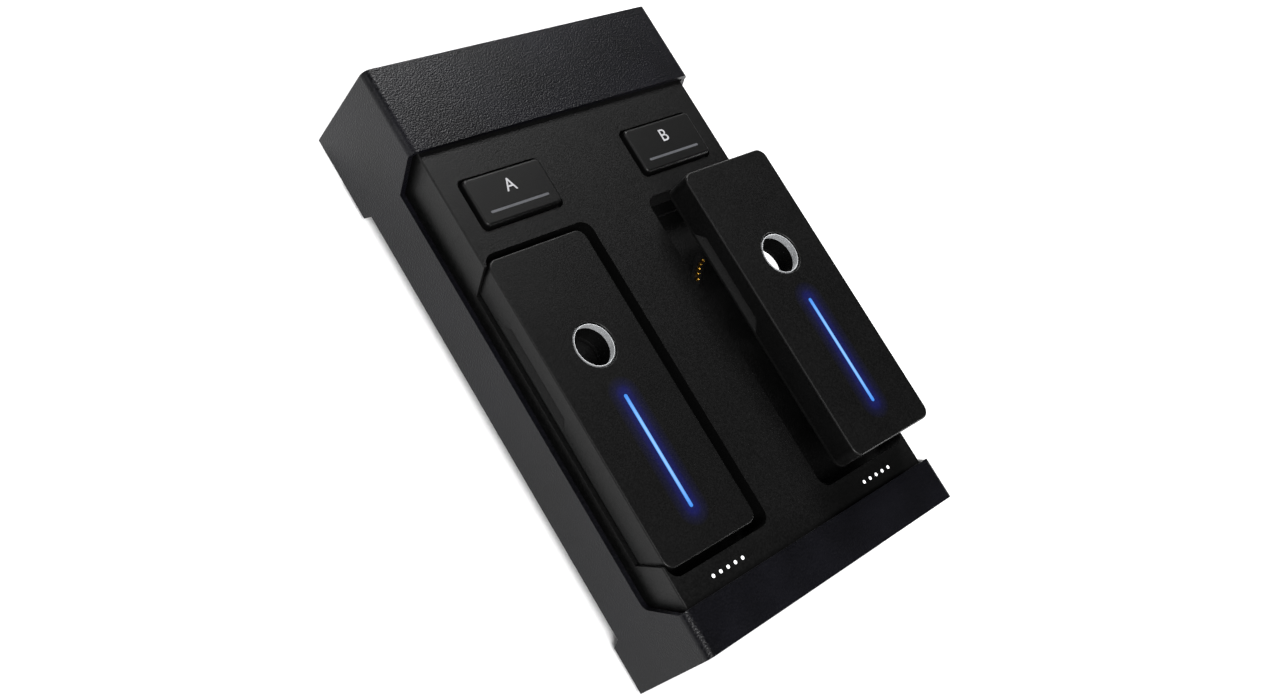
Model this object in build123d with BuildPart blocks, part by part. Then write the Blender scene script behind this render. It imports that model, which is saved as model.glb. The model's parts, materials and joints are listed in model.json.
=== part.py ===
"""Receiver dock of a wireless turntable controller, with its two remotes.

Frame: +X from dock A to dock B, +Y to the rear jacks, +Z up, origin on the surface that the
feet stand on, under the middle of the cover sleeve. Millimetres.
"""
import os
from math import cos, radians, sin

from build123d import *

# ---------------------------------------------------------------- driving dimensions
COVER_WIDTH = 100.0
COVER_LENGTH = 164.5
COVER_HEIGHT = 31.75
SHEET = 1.5
BEND_RADIUS = 2.2
FOOT_PROUD = 1.5
STUD_END = 25.5
NUT_HEIGHT, NUT_ACROSS_FLATS = 2.4, 5.5

WINDOW_BACK, WINDOW_FRONT = 57.8, -70.1
WINDOW_BACK_LOW, WINDOW_FRONT_LOW = 53.4, -64.9
WINDOW_SILL = 18.9
WINDOW_FRONT_CORNER, WINDOW_BACK_CORNER = 3.0, 1.5
WINDOW_SHOULDER = 3.0
EDGE_NOTCH_HEIGHT = 3.2
EDGE_NOTCH_BACK, EDGE_NOTCH_FRONT = 57.0, -68.7
EDGE_NOTCH_SLANT = 0.7

CONSOLE_WIDTH = 94.7
CONSOLE_FRONT, CONSOLE_BACK = -81.0, 72.5
WALL = 2.0
SLIP = 0.05
FIT = 0.02
OVERCUT = 1.0
EDGE_ROUND = 0.5

DOCK_X = 30.1
DOCK_INNER, DOCK_OUTER = 10.8, 46.6
DOCK_BACK, DOCK_FRONT = 27.6, -62.7
DOCK_CORNER = 3.4
DOCK_SKIN = 1.6
TUB_LAP = 0.5
PIN_SLOT = (10.0, 3.2)
SIDE_CUT_BACK, SIDE_CUT_BACK_LOW = 24.9, 21.2
SIDE_CUT_FRONT, SIDE_CUT_FRONT_LOW = -58.9, -55.1
FLOOR_WELL_FRONT, FLOOR_WELL_BACK = 12.3, 24.5
FLOOR_WELL_HALF = 14.5
FLOOR_WELL_DEPTH = 1.2

REMOTE_WIDTH, REMOTE_LENGTH, REMOTE_HEIGHT = 32.4, 86.4, 8.6
REMOTE_Y = -17.2
REMOTE_CORNER = 2.9
REMOTE_WALL = 1.5
REMOTE_ROOF = 1.3
REMOTE_BASE = 0.9
REMOTE_GAP = 0.3
REMOTE_B_LIFT = 13.3
SPINDLE_Y = -3.5
SPINDLE_BORE = 5.65
LINER_RADIUS, LINER_HEIGHT, LINER_SUNK = 6.2, 2.2, 0.2
LIGHT_BAR_LENGTH, LIGHT_BAR_WIDTH = 32.0, 1.1
LIGHT_BAR_Y = -33.9
GRIP_SHELF = 4.75
GRIP_DEPTH = 1.6
GRIP_BACK, GRIP_FRONT = 9.2, -16.3
GRIP_SLANT = 2.7
GRIP_PAD, GRIP_PAD_INSET = 1.8, 0.7
REMOTE_BOSS_X, REMOTE_BOSS_Y, REMOTE_BOSS_RADIUS = 12.6, 39.0, 2.4
REMOTE_PILOT, REMOTE_PILOT_DEPTH = 0.7, 4.5
REMOTE_SCREW_HEAD = (1.45, 0.55)
REMOTE_SCREW_SHANK = (0.68, 4.6)
REMOTE_SCREW_SEAT = (1.5, 0.6)
REMOTE_SCREW_HOLE = 0.8
REMOTE_BASE_ROUND = 0.3
BARREL_WALL = 1.0
RIM_CHAMFER, LINER_CHAMFER = 0.2, 0.15
PAD_SLOT = (9.2, 2.6)
PAD_RADIUS, PAD_HEIGHT = 0.7, 0.1
CONTACT_BOARD = (10.0, 4.4, 0.8)
LIGHT_FLANGE_WIDTH, LIGHT_FLANGE_HEIGHT, LIGHT_FLANGE_LAP = 2.6, 0.7, 1.0
REMOTE_BOARD = (25.0, 71.0, 0.8)
REMOTE_BOARD_RISE, REMOTE_BOARD_HOLE_GAP = 5.2, 1.3
BATTERY = (24.0, 34.0, 3.6)
BATTERY_Y, BATTERY_RISE, BATTERY_CORNER, BATTERY_ROUND = -29.0, 1.2, 1.5, 0.6
REMOTE_MAGNET_HEIGHT, DOCK_MAGNET_HEIGHT = 1.5, 2.0

KEY_X, KEY_Y = 28.25, 40.6
KEY_OPENING = (27.1, 15.0)
KEY_GAP = 0.8
KEY_PROUD = 1.4
KEY_BAR = (19.3, 0.7)
KEY_BAR_Y = 37.1
KEY_BAR_FLANGE = (13.0, 2.2, 0.8)
KEY_BAR_FLANGE_SHIFT = 0.3
KEY_OPENING_CORNER, KEY_CORNER, KEY_FLANGE_CORNER = 1.9, 1.3, 2.5
KEY_ROUND = 0.7
KEY_ROOF, KEY_WALL = 1.5, 1.5
KEY_FLANGE, KEY_FLANGE_GAP, KEY_FLANGE_LAP = 1.0, 0.1, 1.1
SWITCH_SIDE, SWITCH_HEIGHT, SWITCH_FLOOR, SWITCH_SPREAD = 6.0, 3.2, 1.0, 8.0
STEM_RADIUS, STEM_GAP = 1.6, 0.08
STEM_LOW_RISE, STEM_TOP_RISE = 1.9, 4.4

LEVEL_X, LEVEL_Y, LEVEL_PITCH, LEVEL_COUNT = 30.1, -66.6, 2.67, 5
LEVEL_RADIUS = 0.48
LED = (1.6, 0.9, 0.7)
LED_GAP = 0.3
PIPE_BAR_LOW, PIPE_BAR_HIGH, PIPE_BAR_WIDTH = 27.2, 28.7, 2.6

PIN_RING, PIN_MIDDLE, PIN_STEP, PIN_COUNT = 12.4, 129.0, 8.0, 5
PIN_RADIUS = 0.45
PIN_PROUD = 0.95
PIN_ROUND = 0.36
PIN_BLOCK = (12.0, 5.6, 4.0)
PIN_FOOT_RISE = 1.4
COLLAR_RADIUS, COLLAR_HEIGHT, COLLAR_DROP, COLLAR_GAP = 0.62, 0.9, 1.3, 0.06

JACK_XS = (-31.0, -17.0, 17.0, 31.0)
JACK_RADIUS = 4.15
JACK_REACH = 8.9
JACK_INSIDE = 3.6
JACK_RISE = 7.0
JACK_BLOCK = (10.0, 12.0, 13.0)
JACK_FLANGE_RADIUS, JACK_FLANGE_HEIGHT, JACK_FLANGE_LAP = 5.4, 0.8, 0.1
INSERT_RADIUS, INSERT_HOLE, INSERT_SUNK = 3.57, 1.97, 0.8
CONTACT_RADIUS, CONTACT_HOLE, CONTACT_SUNK = 1.95, 1.62, 1.9
USB_BODY = (12.0, 10.9, 15.8)
USB_PROUD, USB_RISE = 0.8, 5.6
USB_MOUTH = (8.5, 7.8, 9.0)
USB_MOUTH_CHAMFER = 1.5
USB_TONGUE = (5.6, 3.2, 7.6)
PANEL_HOLE_GAP = 0.1

BASE_CORNER = 1.5
BASE_SCREW_HEAD, BASE_SCREW_SINK, BASE_SCREW_LENGTH = 2.3, 1.3, 10.0
BASE_SCREW_SOCKET = (0.8, 0.7)
BASE_POST_RADIUS, BASE_POST_PILOT = 2.6, 1.0
FOOT_RADIUS, FOOT_ROUND = 5.0, 0.5
FEET = [(-37.0, -66.0), (37.0, -66.0), (-37.0, 56.0), (37.0, 56.0)]
BOARD_SCREW_HEAD = (1.9, 1.3)
BOARD_SCREW_LENGTH = 5.0
MAIN_BOARD_WIDTH, MAIN_BOARD_FRONT, BOARD_GAP = 72.4, 8.0, 0.3
KEY_BOARD = (76.0, 19.0)
FRONT_BOARD, FRONT_BOARD_SHIFT = (76.0, 5.6), -0.8
SHIELD, SHIELD_Y, SHIELD_SHEET, SHIELD_ROUND = (26.0, 20.0, 3.2), 28.0, 0.3, 0.4
ANTENNA_BOARD = (10.0, 0.8, 7.5)
ANTENNAS = [(-22.0, 16.5), (22.0, 16.5)]

# ---------------------------------------------------------------- levels worked out from them
cover_top = FOOT_PROUD + COVER_HEIGHT
sheet_under = cover_top - SHEET
console_top = sheet_under - SLIP
console_low = 4.0
roof_under = console_top - WALL
base_low = 2.0
remote_low = console_top - REMOTE_HEIGHT
dock_floor = remote_low - REMOTE_GAP
dock_under = dock_floor - WALL
inner_half = CONSOLE_WIDTH / 2 - WALL
main_board_low, board_thickness = 8.0, 1.6
main_board_top = main_board_low + board_thickness
key_board_low = 20.4
key_board_top = key_board_low + board_thickness
front_board_low = 22.6
front_board_top = front_board_low + board_thickness

BOSS_X = inner_half - 2.75
BOSS_YS = (-76.0, -18.0, 66.0)
BOSS_RADIUS = 3.0
PILOT, PILOT_DEPTH, POST_PILOT_DEPTH = 1.0, 9.0, 5.2
SHANK = 0.98
CLEAR_HOLE = 1.2
STUDS = [(-22.0, -76.0), (22.0, -76.0), (-22.0, 64.0), (22.0, 64.0)]
STUD_RADIUS, STUD_CLEARANCE = 1.45, 0.25
BOARD_POSTS = [(-31.0, 12.0), (31.0, 12.0), (-31.0, 50.0), (31.0, 50.0)]
KEY_BOARD_POSTS = [(-10.0, 34.0), (10.0, 34.0), (-10.0, 47.0), (10.0, 47.0)]
FRONT_BOARD_POSTS = [(-12.0, -67.6), (12.0, -67.6)]
POST_RADIUS = 2.2
MAGNET_YS = (18.5, -52.0)
MAGNET_RADIUS = 4.0

STANDING = (Align.CENTER, Align.CENTER, Align.MIN)
HANGING = (Align.CENTER, Align.CENTER, Align.MAX)

os.makedirs("parts", exist_ok=True)
written = []


def save(builder, name):
    """Label a finished piece and write it as its own STEP file."""
    builder.part.label = name
    export_step(builder.part, f"parts/{name}.step")
    written.append(name)
    print(f"{name:26s} solids {len(builder.part.solids()):2d}  volume {builder.part.volume:10.2f}")


def arc_points(x, y):
    """Centres of the contacts, on an arc round a spindle bore at (x, y)."""
    first = PIN_MIDDLE - PIN_STEP * (PIN_COUNT - 1) / 2
    angles = [radians(first + PIN_STEP * i) for i in range(PIN_COUNT)]
    return [(x + PIN_RING * cos(a), y + PIN_RING * sin(a)) for a in angles]


def arc_middle(x, y, z):
    """Plane at the middle of that arc, its X along the arc."""
    a = radians(PIN_MIDDLE)
    return Plane(
        origin=(x + PIN_RING * cos(a), y + PIN_RING * sin(a), z),
        x_dir=(sin(a), -cos(a), 0),
        z_dir=(0, 0, 1),
    )


# ================================================================ receiver
# Cover sleeve: one sheet bent twice, with a window that runs down both sides.
with BuildPart() as cover_sleeve:
    with BuildSketch(Plane.XZ) as section:
        with Locations((0, FOOT_PROUD)):
            Rectangle(COVER_WIDTH, COVER_HEIGHT, align=(Align.CENTER, Align.MIN))
        fillet(section.vertices().group_by(Axis.Y)[-1], BEND_RADIUS)
        with BuildSketch(Plane.XZ, mode=Mode.SUBTRACT) as hollow:
            with Locations((0, FOOT_PROUD)):
                Rectangle(
                    COVER_WIDTH - 2 * SHEET, COVER_HEIGHT - SHEET, align=(Align.CENTER, Align.MIN)
                )
            fillet(hollow.vertices().group_by(Axis.Y)[-1], BEND_RADIUS - SHEET)
    extrude(amount=COVER_LENGTH / 2, both=True)
    with BuildSketch(Plane.YZ) as window:
        sill = FOOT_PROUD + WINDOW_SILL
        bend_start = cover_top - BEND_RADIUS
        Polygon(
            (WINDOW_BACK, cover_top + OVERCUT),
            (WINDOW_BACK, bend_start),
            (WINDOW_BACK_LOW, sill),
            (WINDOW_FRONT_LOW, sill),
            (WINDOW_FRONT, bend_start),
            (WINDOW_FRONT, cover_top + OVERCUT),
            align=None,
        )
        sill_corners, shoulders, _ = window.vertices().group_by(Axis.Y)
        front_corner, back_corner = sill_corners.sort_by(Axis.X)
        fillet(front_corner, WINDOW_FRONT_CORNER)
        fillet(back_corner, WINDOW_BACK_CORNER)
        fillet(shoulders, WINDOW_SHOULDER)
    extrude(amount=COVER_WIDTH, both=True, mode=Mode.SUBTRACT)
    with BuildSketch(Plane.YZ):
        notch_top = FOOT_PROUD + EDGE_NOTCH_HEIGHT
        Polygon(
            (EDGE_NOTCH_BACK + EDGE_NOTCH_SLANT, FOOT_PROUD),
            (EDGE_NOTCH_BACK - EDGE_NOTCH_SLANT, notch_top),
            (EDGE_NOTCH_FRONT + EDGE_NOTCH_SLANT, notch_top),
            (EDGE_NOTCH_FRONT - EDGE_NOTCH_SLANT, FOOT_PROUD),
            align=None,
        )
    extrude(amount=COVER_WIDTH, both=True, mode=Mode.SUBTRACT)
    # weld studs under the two bands hold the sleeve to the console
    with BuildSketch(Plane.XY.offset(STUD_END)):
        with Locations(*STUDS):
            Circle(STUD_RADIUS)
    extrude(amount=sheet_under + SHEET / 2 - STUD_END)
save(cover_sleeve, "cover_sleeve")

# Nuts on the sleeve's studs, tight against the underside of the console's roof.
with BuildPart() as stud_nuts:
    with BuildSketch(Plane.XY.offset(roof_under - SLIP - NUT_HEIGHT)):
        with Locations(*STUDS):
            RegularPolygon(NUT_ACROSS_FLATS / 2, 6, major_radius=False)
            Circle(STUD_RADIUS + FIT, mode=Mode.SUBTRACT)
    extrude(amount=NUT_HEIGHT)
save(stud_nuts, "stud_nuts")

# Console: moulded shell, open below and behind, with two docks let into its roof.
with BuildPart() as console:
    console_length = CONSOLE_BACK - CONSOLE_FRONT
    console_mid = (CONSOLE_BACK + CONSOLE_FRONT) / 2
    with BuildSketch(Plane.XY.offset(console_low)):
        with Locations((0, console_mid)):
            Rectangle(CONSOLE_WIDTH, console_length)
    extrude(amount=console_top - console_low)
    fillet(console.edges().filter_by(Axis.Y).group_by(Axis.Z)[-1], EDGE_ROUND)
    with BuildSketch(Plane.XY.offset(console_low)):
        with Locations((0, CONSOLE_BACK)):
            Rectangle(2 * inner_half, console_length - WALL, align=(Align.CENTER, Align.MAX))
    extrude(amount=roof_under - console_low, mode=Mode.SUBTRACT)
    # dock tubs, hung from the roof
    with BuildSketch(Plane.XY.offset(dock_under)):
        for side in (-1, 1):
            tub_width = inner_half + TUB_LAP - (DOCK_INNER - DOCK_SKIN)
            tub_x = side * (DOCK_INNER - DOCK_SKIN + tub_width / 2)
            with Locations((tub_x, (DOCK_BACK + DOCK_FRONT) / 2)):
                Rectangle(tub_width, DOCK_BACK - DOCK_FRONT + 2 * DOCK_SKIN)
    extrude(amount=roof_under - dock_under)
    with BuildSketch(Plane.XY.offset(dock_floor)):
        for side in (-1, 1):
            with Locations((side * (DOCK_INNER + DOCK_OUTER) / 2, (DOCK_BACK + DOCK_FRONT) / 2)):
                RectangleRounded(DOCK_OUTER - DOCK_INNER, DOCK_BACK - DOCK_FRONT, DOCK_CORNER)
    extrude(amount=console_top - dock_floor, mode=Mode.SUBTRACT)
    with BuildSketch(Plane.XY.offset(dock_floor - FLOOR_WELL_DEPTH)):
        for side in (-1, 1):
            with Locations((side * DOCK_X, (FLOOR_WELL_FRONT + FLOOR_WELL_BACK) / 2)):
                Rectangle(2 * FLOOR_WELL_HALF, FLOOR_WELL_BACK - FLOOR_WELL_FRONT)
    extrude(amount=FLOOR_WELL_DEPTH, mode=Mode.SUBTRACT)
    # each dock opens through the console's side, wider at the top than at the floor
    side_cut_depth = CONSOLE_WIDTH / 2 - DOCK_OUTER + 2 * DOCK_CORNER
    for cut_x in (-CONSOLE_WIDTH / 2, CONSOLE_WIDTH / 2 - side_cut_depth):
        with BuildSketch(Plane.YZ.offset(cut_x)):
            Polygon(
                (SIDE_CUT_BACK, console_top),
                (SIDE_CUT_BACK_LOW, dock_floor),
                (SIDE_CUT_FRONT_LOW, dock_floor),
                (SIDE_CUT_FRONT, console_top),
                align=None,
            )
        extrude(amount=side_cut_depth, mode=Mode.SUBTRACT)
    # screw bosses on the side walls and posts under the roof
    with BuildSketch(Plane.XY.offset(console_low)):
        with Locations(*[(s * BOSS_X, y) for s in (-1, 1) for y in BOSS_YS]):
            Circle(BOSS_RADIUS)
    extrude(amount=dock_under - console_low)
    with BuildSketch(Plane.XY.offset(key_board_top)):
        with Locations(*KEY_BOARD_POSTS):
            Circle(POST_RADIUS)
    extrude(amount=roof_under - key_board_top)
    with BuildSketch(Plane.XY.offset(front_board_top)):
        with Locations(*FRONT_BOARD_POSTS):
            Circle(POST_RADIUS)
    extrude(amount=roof_under - front_board_top)
    with BuildSketch(Plane.XY.offset(console_low)):
        with Locations(*[(s * BOSS_X, y) for s in (-1, 1) for y in BOSS_YS]):
            Circle(PILOT)
    extrude(amount=PILOT_DEPTH, mode=Mode.SUBTRACT)
    with BuildSketch(Plane.XY.offset(key_board_top)):
        with Locations(*KEY_BOARD_POSTS):
            Circle(PILOT)
    extrude(amount=POST_PILOT_DEPTH, mode=Mode.SUBTRACT)
    with BuildSketch(Plane.XY.offset(front_board_top)):
        with Locations(*FRONT_BOARD_POSTS):
            Circle(PILOT)
    extrude(amount=POST_PILOT_DEPTH, mode=Mode.SUBTRACT)
    # openings in the roof: keys, level lights, studs
    with BuildSketch(Plane.XY.offset(roof_under)):
        with Locations((-KEY_X, KEY_Y), (KEY_X, KEY_Y)):
            RectangleRounded(*KEY_OPENING, KEY_OPENING_CORNER)
        for side in (-1, 1):
            with Locations((side * LEVEL_X, LEVEL_Y)):
                with GridLocations(LEVEL_PITCH, 0, LEVEL_COUNT, 1):
                    Circle(LEVEL_RADIUS + SLIP)
        with Locations(*STUDS):
            Circle(STUD_RADIUS + STUD_CLEARANCE)
    extrude(amount=WALL, mode=Mode.SUBTRACT)
    # slots in the dock floors for the contact blocks
    for side in (-1, 1):
        with BuildSketch(arc_middle(side * DOCK_X, SPINDLE_Y, dock_under)):
            Rectangle(*PIN_SLOT)
        extrude(amount=WALL, mode=Mode.SUBTRACT)
save(console, "console")

# Base plate: closes the console from below and carries the main board on four posts.
with BuildPart() as base_plate:
    with BuildSketch(Plane.XY.offset(base_low)):
        with Locations((0, console_mid)):
            RectangleRounded(CONSOLE_WIDTH, console_length, BASE_CORNER)
    extrude(amount=console_low - base_low)
    with BuildSketch(Plane.XY.offset(console_low)):
        with Locations(*BOARD_POSTS):
            Circle(BASE_POST_RADIUS)
    extrude(amount=main_board_low - console_low)
    with Locations(*[(s * BOSS_X, y, base_low) for s in (-1, 1) for y in BOSS_YS]):
        Cone(BASE_SCREW_HEAD + SLIP, CLEAR_HOLE, BASE_SCREW_SINK, align=STANDING,
             mode=Mode.SUBTRACT)
        Cylinder(CLEAR_HOLE, console_low - base_low, align=STANDING, mode=Mode.SUBTRACT)
    with BuildSketch(Plane.XY.offset(console_low - BASE_POST_PILOT)):
        with Locations(*BOARD_POSTS):
            Circle(PILOT)
    extrude(amount=main_board_low - console_low + BASE_POST_PILOT, mode=Mode.SUBTRACT)
save(base_plate, "base_plate")

# Six countersunk screws from below.
with BuildPart() as base_screws:
    with Locations(*[(s * BOSS_X, y, base_low) for s in (-1, 1) for y in BOSS_YS]):
        Cone(BASE_SCREW_HEAD, SHANK, BASE_SCREW_SINK, align=STANDING)
        Cylinder(SHANK, BASE_SCREW_LENGTH, align=STANDING)
        Cylinder(*BASE_SCREW_SOCKET, align=STANDING, mode=Mode.SUBTRACT)
save(base_screws, "base_screws")

# Four rubber feet under the base plate.
with BuildPart() as feet:
    with BuildSketch():
        with Locations(*FEET):
            Circle(FOOT_RADIUS)
    extrude(amount=base_low)
    fillet(feet.edges().group_by(Axis.Z)[0], FOOT_ROUND)
save(feet, "feet")

# Rear panel, set in behind the sleeve's overhang.
jack_z = main_board_top + JACK_RISE
usb_z = main_board_top + USB_RISE
panel_inside = CONSOLE_BACK - WALL
with BuildPart() as rear_panel:
    with BuildSketch(Plane.XZ.offset(-panel_inside)):
        panel_bottom = console_low + SLIP
        with Locations((0, panel_bottom)):
            Rectangle(
                2 * (inner_half - SLIP), roof_under - SLIP - panel_bottom,
                align=(Align.CENTER, Align.MIN),
            )
        with Locations(*[(x, jack_z) for x in JACK_XS]):
            Circle(JACK_RADIUS + PANEL_HOLE_GAP, mode=Mode.SUBTRACT)
        with Locations((0, usb_z)):
            Rectangle(
                USB_BODY[0] + 2 * PANEL_HOLE_GAP, USB_BODY[1] + 2 * PANEL_HOLE_GAP,
                mode=Mode.SUBTRACT,
            )
    extrude(amount=-WALL)
save(rear_panel, "rear_panel")

# Main board.
with BuildPart() as main_board:
    with BuildSketch(Plane.XY.offset(main_board_low)):
        with Locations((0, MAIN_BOARD_FRONT)):
            Rectangle(
                MAIN_BOARD_WIDTH, panel_inside - BOARD_GAP - MAIN_BOARD_FRONT,
                align=(Align.CENTER, Align.MIN),
            )
        with Locations(*BOARD_POSTS):
            Circle(CLEAR_HOLE, mode=Mode.SUBTRACT)
    extrude(amount=board_thickness)
save(main_board, "main_board")

# Can over the radio, soldered to the main board.
with BuildPart() as radio_shield:
    with BuildSketch(Plane.XY.offset(main_board_top)):
        with Locations((0, SHIELD_Y)):
            Rectangle(SHIELD[0], SHIELD[1])
    extrude(amount=SHIELD[2])
    fillet(radio_shield.edges().group_by(Axis.Z)[-1], SHIELD_ROUND)
    with BuildSketch(Plane.XY.offset(main_board_top)):
        with Locations((0, SHIELD_Y)):
            Rectangle(SHIELD[0] - 2 * SHIELD_SHEET, SHIELD[1] - 2 * SHIELD_SHEET)
    extrude(amount=SHIELD[2] - SHIELD_SHEET, mode=Mode.SUBTRACT)
save(radio_shield, "radio_shield")

# Two antenna boards standing on the main board's front corners.
with BuildPart() as antenna_boards:
    with BuildSketch(Plane.XY.offset(main_board_top)):
        with Locations(*ANTENNAS):
            Rectangle(ANTENNA_BOARD[0], ANTENNA_BOARD[1])
    extrude(amount=ANTENNA_BOARD[2])
save(antenna_boards, "antenna_boards")

# Board on which both keys' switches sit, hung from the console's roof.
with BuildPart() as key_board:
    with BuildSketch(Plane.XY.offset(key_board_low)):
        with Locations((0, KEY_Y)):
            Rectangle(*KEY_BOARD)
        with Locations(*KEY_BOARD_POSTS):
            Circle(CLEAR_HOLE, mode=Mode.SUBTRACT)
    extrude(amount=board_thickness)
save(key_board, "key_board")

# Front board with the level lights' LEDs.
with BuildPart() as front_board:
    with BuildSketch(Plane.XY.offset(front_board_low)):
        with Locations((0, LEVEL_Y + FRONT_BOARD_SHIFT)):
            Rectangle(*FRONT_BOARD)
        with Locations(*FRONT_BOARD_POSTS):
            Circle(CLEAR_HOLE, mode=Mode.SUBTRACT)
    extrude(amount=board_thickness)
save(front_board, "front_board")

# Five LEDs for each dock's level lights.
with BuildPart() as level_leds:
    with BuildSketch(Plane.XY.offset(front_board_top)):
        for side in (-1, 1):
            with Locations((side * LEVEL_X, LEVEL_Y)):
                with GridLocations(LEVEL_PITCH, 0, LEVEL_COUNT, 1):
                    Rectangle(LED[0], LED[1])
    extrude(amount=LED[2])
save(level_leds, "level_leds")

# Pan-head board screws: down into the base plate's posts, up into the roof's posts.
with BuildPart() as board_screws:
    with Locations(*[(x, y, main_board_top) for x, y in BOARD_POSTS]):
        Cylinder(*BOARD_SCREW_HEAD, align=STANDING)
        Cylinder(SHANK, BOARD_SCREW_LENGTH, align=HANGING)
    with Locations(*[(x, y, key_board_low) for x, y in KEY_BOARD_POSTS],
                   *[(x, y, front_board_low) for x, y in FRONT_BOARD_POSTS]):
        Cylinder(*BOARD_SCREW_HEAD, align=HANGING)
        Cylinder(SHANK, BOARD_SCREW_LENGTH, align=STANDING)
save(board_screws, "board_screws")

# Light pipe combs: a bar under the roof with five posts up to the top and five down to the LEDs.
for tag, side in (("a", -1), ("b", 1)):
    with BuildPart() as light_pipe:
        with BuildSketch(Plane.XY.offset(PIPE_BAR_LOW)):
            with Locations((side * LEVEL_X, LEVEL_Y)):
                Rectangle(LEVEL_PITCH * LEVEL_COUNT, PIPE_BAR_WIDTH)
        extrude(amount=PIPE_BAR_HIGH - PIPE_BAR_LOW)
        post_low = front_board_top + LED[2] + LED_GAP
        with BuildSketch(Plane.XY.offset(post_low)):
            with Locations((side * LEVEL_X, LEVEL_Y)):
                with GridLocations(LEVEL_PITCH, 0, LEVEL_COUNT, 1):
                    Circle(LEVEL_RADIUS)
        extrude(amount=console_top - post_low)
    save(light_pipe, f"light_pipe_{tag}")

# ---------------------------------------------------------------- rear sockets
# Body of each phono jack, behind the panel.
block_front = panel_inside - PANEL_HOLE_GAP
with BuildPart() as rca_blocks:
    with BuildSketch(Plane.XY.offset(main_board_top)):
        with Locations(*[(x, block_front) for x in JACK_XS]):
            Rectangle(JACK_BLOCK[0], JACK_BLOCK[1], align=(Align.CENTER, Align.MAX))
    extrude(amount=JACK_BLOCK[2])
save(rca_blocks, "rca_blocks")

# Plated outer barrels, each with a collar against the panel.
barrel_end = CONSOLE_BACK + JACK_REACH
insert_end = barrel_end - INSERT_SUNK
contact_end = barrel_end - CONTACT_SUNK
with BuildPart() as rca_barrels:
    with BuildSketch(Plane.XZ.offset(-block_front)):
        with Locations(*[(x, jack_z) for x in JACK_XS]):
            Circle(JACK_RADIUS)
            Circle(JACK_INSIDE, mode=Mode.SUBTRACT)
    extrude(amount=-(barrel_end - block_front))
    with BuildSketch(Plane.XZ.offset(-(CONSOLE_BACK + SLIP))):
        with Locations(*[(x, jack_z) for x in JACK_XS]):
            Circle(JACK_FLANGE_RADIUS)
            Circle(JACK_RADIUS - JACK_FLANGE_LAP, mode=Mode.SUBTRACT)
    extrude(amount=-JACK_FLANGE_HEIGHT)
save(rca_barrels, "rca_barrels")

# Coloured insulators: white for each deck's left channel, red for its right.
for colour, xs in (("white", JACK_XS[0::2]), ("red", JACK_XS[1::2])):
    with BuildPart() as rca_inserts:
        with BuildSketch(Plane.XZ.offset(-block_front)):
            with Locations(*[(x, jack_z) for x in xs]):
                Circle(INSERT_RADIUS)
                Circle(INSERT_HOLE, mode=Mode.SUBTRACT)
        extrude(amount=-(insert_end - block_front))
    save(rca_inserts, f"rca_inserts_{colour}")

# Centre contacts, which a plug's pin goes into.
with BuildPart() as rca_contacts:
    with BuildSketch(Plane.XZ.offset(-block_front)):
        with Locations(*[(x, jack_z) for x in JACK_XS]):
            Circle(CONTACT_RADIUS)
            Circle(CONTACT_HOLE, mode=Mode.SUBTRACT)
    extrude(amount=-(contact_end - block_front))
save(rca_contacts, "rca_contacts")

# Square USB socket: a block with a chamfered mouth, and the tongue that holds its contacts.
usb_end = CONSOLE_BACK + USB_PROUD
with BuildPart() as usb_shell:
    with BuildSketch(Plane.XZ.offset(-usb_end)):
        with Locations((0, usb_z)):
            Rectangle(USB_BODY[0], USB_BODY[1])
    extrude(amount=USB_BODY[2])
    with BuildSketch(Plane.XZ.offset(-usb_end)) as usb_mouth:
        with Locations((0, usb_z)):
            Rectangle(USB_MOUTH[0], USB_MOUTH[1])
        chamfer(usb_mouth.vertices().group_by(Axis.Y)[-1], USB_MOUTH_CHAMFER)
    extrude(amount=USB_MOUTH[2], mode=Mode.SUBTRACT)
save(usb_shell, "usb_shell")

with BuildPart() as usb_tongue:
    with BuildSketch(Plane.XZ.offset(-(usb_end - USB_MOUTH[2]))):
        with Locations((0, usb_z)):
            Rectangle(USB_TONGUE[0], USB_TONGUE[1])
    extrude(amount=-USB_TONGUE[2])
save(usb_tongue, "usb_tongue")

# ---------------------------------------------------------------- keys
cap_x, cap_y = KEY_OPENING[0] - 2 * KEY_GAP, KEY_OPENING[1] - 2 * KEY_GAP
key_top = console_top + KEY_PROUD
cap_roof = key_top - KEY_ROOF
flange_high = roof_under - KEY_FLANGE_GAP
flange_low = flange_high - KEY_FLANGE
stem_low, stem_top = key_board_top + STEM_LOW_RISE, key_board_top + STEM_TOP_RISE

# Two dome switches under each key.
with BuildPart() as key_switches:
    spots = [(s * KEY_X + d * SWITCH_SPREAD, KEY_Y) for s in (-1, 1) for d in (-1, 1)]
    with BuildSketch(Plane.XY.offset(key_board_top)):
        with Locations(*spots):
            Rectangle(SWITCH_SIDE, SWITCH_SIDE)
    extrude(amount=SWITCH_HEIGHT)
    with BuildSketch(Plane.XY.offset(key_board_top + SWITCH_FLOOR)):
        with Locations(*spots):
            Circle(STEM_RADIUS + STEM_GAP)
    extrude(amount=SWITCH_HEIGHT - SWITCH_FLOOR, mode=Mode.SUBTRACT)
save(key_switches, "key_switches")

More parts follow.
